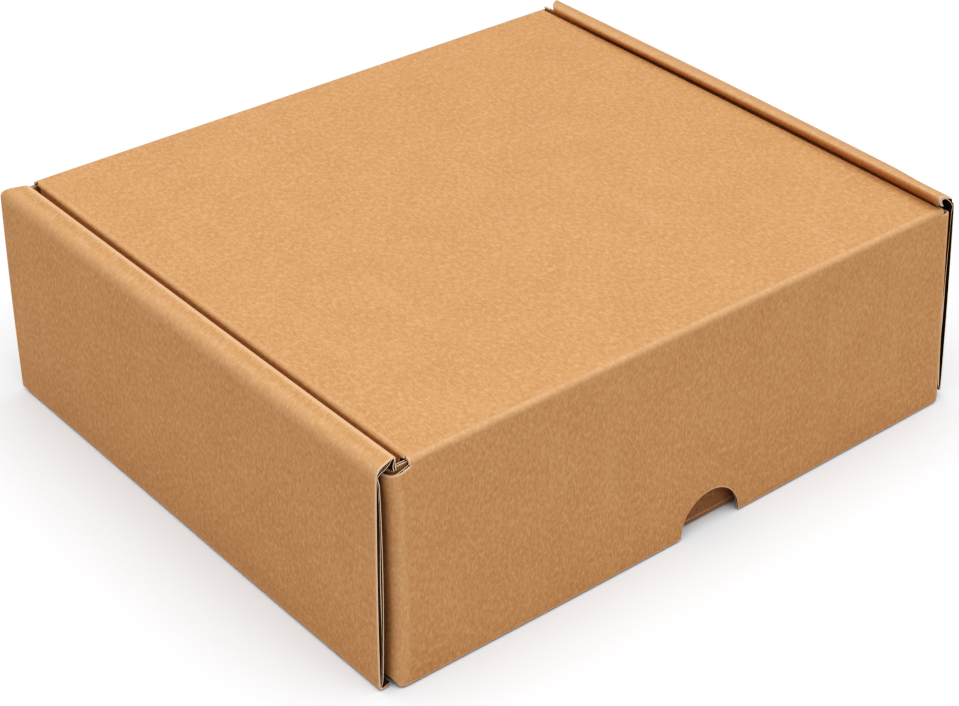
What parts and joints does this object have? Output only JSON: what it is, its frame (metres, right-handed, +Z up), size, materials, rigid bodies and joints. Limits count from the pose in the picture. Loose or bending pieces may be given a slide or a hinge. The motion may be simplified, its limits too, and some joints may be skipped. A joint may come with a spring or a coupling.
{
  "type": "closed cardboard mailing box",
  "caption": "Flat brown folded mailing box of fluted board, shut, with a lid that locks by a tuck-in front flap with a thumb notch.",
  "frame": {"origin": "middle of the underside, halfway between the side walls and halfway from the side walls' front ends to the back wall", "axes": "+X along the front to the right as seen from the front, +Y from the front to the back, +Z up"},
  "size_m": [0.31, 0.2637, 0.1024],
  "materials": {
    "kraft_board": "matt brown kraft liner"
  },
  "bodies": {
    "tray_and_lid": {"tray_and_lid": "kraft_board"},
    "front_flap": {"front_flap": "kraft_board"}
  },
  "joints": [
    {"name": "front_flap_crease", "type": "hinge", "parent": "tray_and_lid", "child": "front_flap", "pos_m": [0, -0.13, 0.096], "axis": [-1, 0, 0], "range_deg": [-2.2, 100]}
  ]
}
